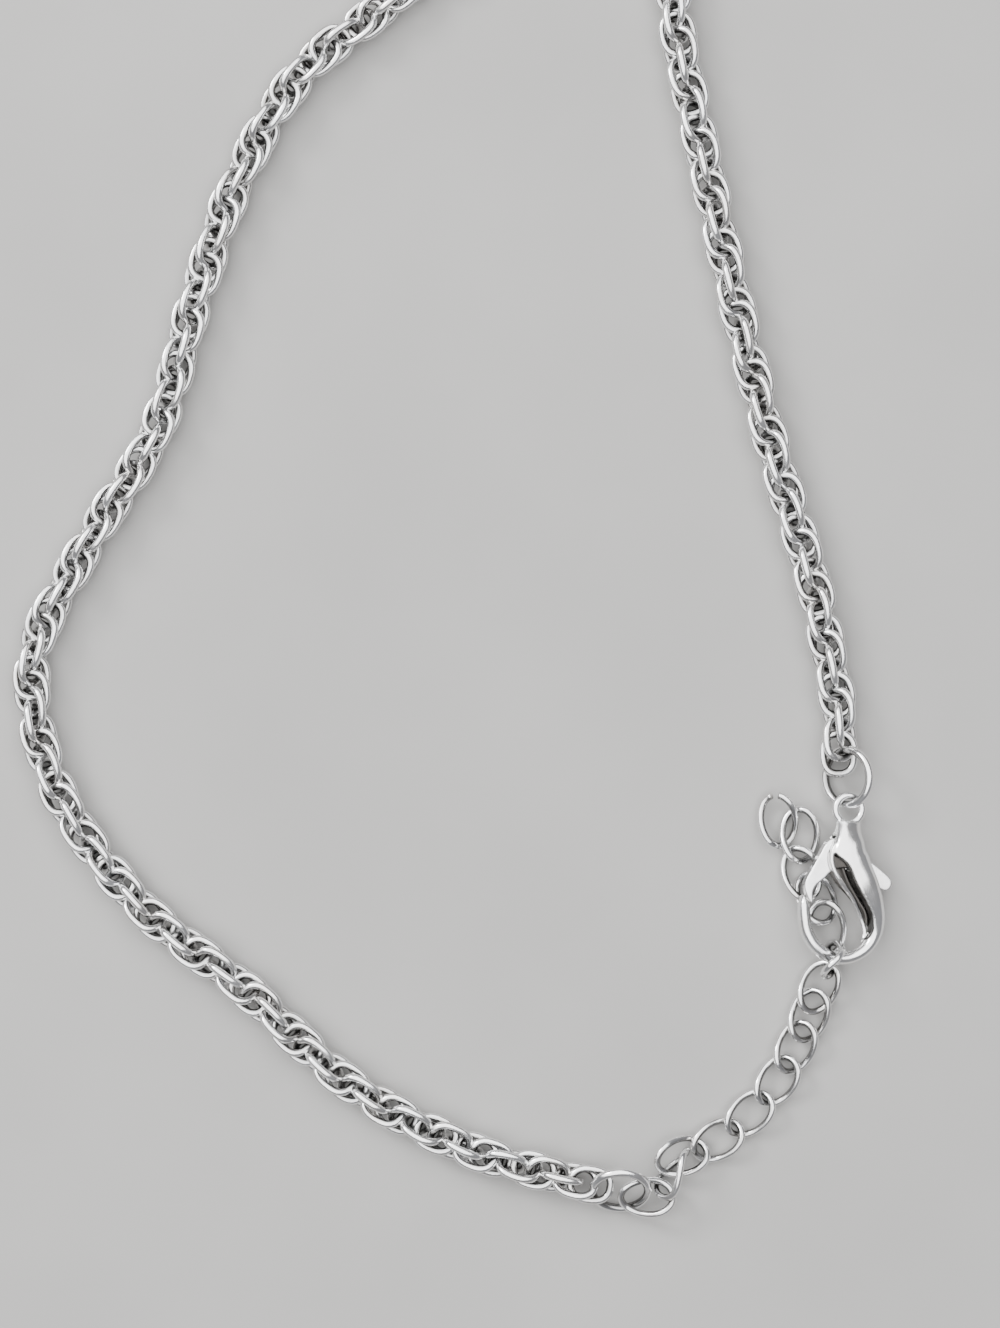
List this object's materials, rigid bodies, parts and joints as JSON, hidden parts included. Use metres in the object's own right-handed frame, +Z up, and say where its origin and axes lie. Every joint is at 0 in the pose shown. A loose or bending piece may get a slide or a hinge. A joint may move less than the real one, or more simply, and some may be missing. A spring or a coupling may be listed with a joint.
{
  "type": "rope chain necklace with lobster clasp and extender chain",
  "caption": "Silver-tone rope chain necklace lying in a closed loop, its lobster clasp hooked into an extender chain of oval curb links.",
  "frame": {"origin": "middle of the underside of the box around the necklace, on the surface that it lies on", "axes": "+Z up from the surface; +Y from the clasp's end of the loop towards the middle of the rope chain; +X towards the clasp's side"},
  "size_m": [0.0716, 0.1802, 0.0048],
  "materials": {
    "rope": "polished silver-tone plating",
    "ring": "polished silver-tone plating",
    "link": "polished silver-tone plating",
    "clasp": "polished silver-tone plating",
    "lever": "polished silver-tone plating",
    "pin": "satin"
  },
  "bodies": {
    "necklace": {"rope_chain": "rope", "jump_ring_left": "ring", "jump_ring_right": "ring", "extender_link_01": "link", "extender_link_02": "link", "extender_link_03": "link", "extender_link_04": "link", "extender_link_05": "link", "extender_link_06": "link", "extender_link_07": "link", "extender_link_08": "link", "extender_link_09": "link", "extender_link_10": "link", "extender_link_11": "link", "extender_link_12": "link", "extender_link_13": "link", "extender_link_14": "link", "extender_open_link": "link", "clasp_body": "clasp", "clasp_pin": "pin"},
    "lever": {"clasp_lever": "lever"}
  },
  "joints": [
    {"name": "lever_hinge", "type": "hinge", "parent": "necklace", "child": "lever", "pos_m": [0.03137, -0.06019, 0.00215], "axis": [0.2079, 0, 0.9781], "range_deg": [0, 22], "stiffness_Nm_per_rad": 0.004, "springref_deg": -17.19}
  ]
}
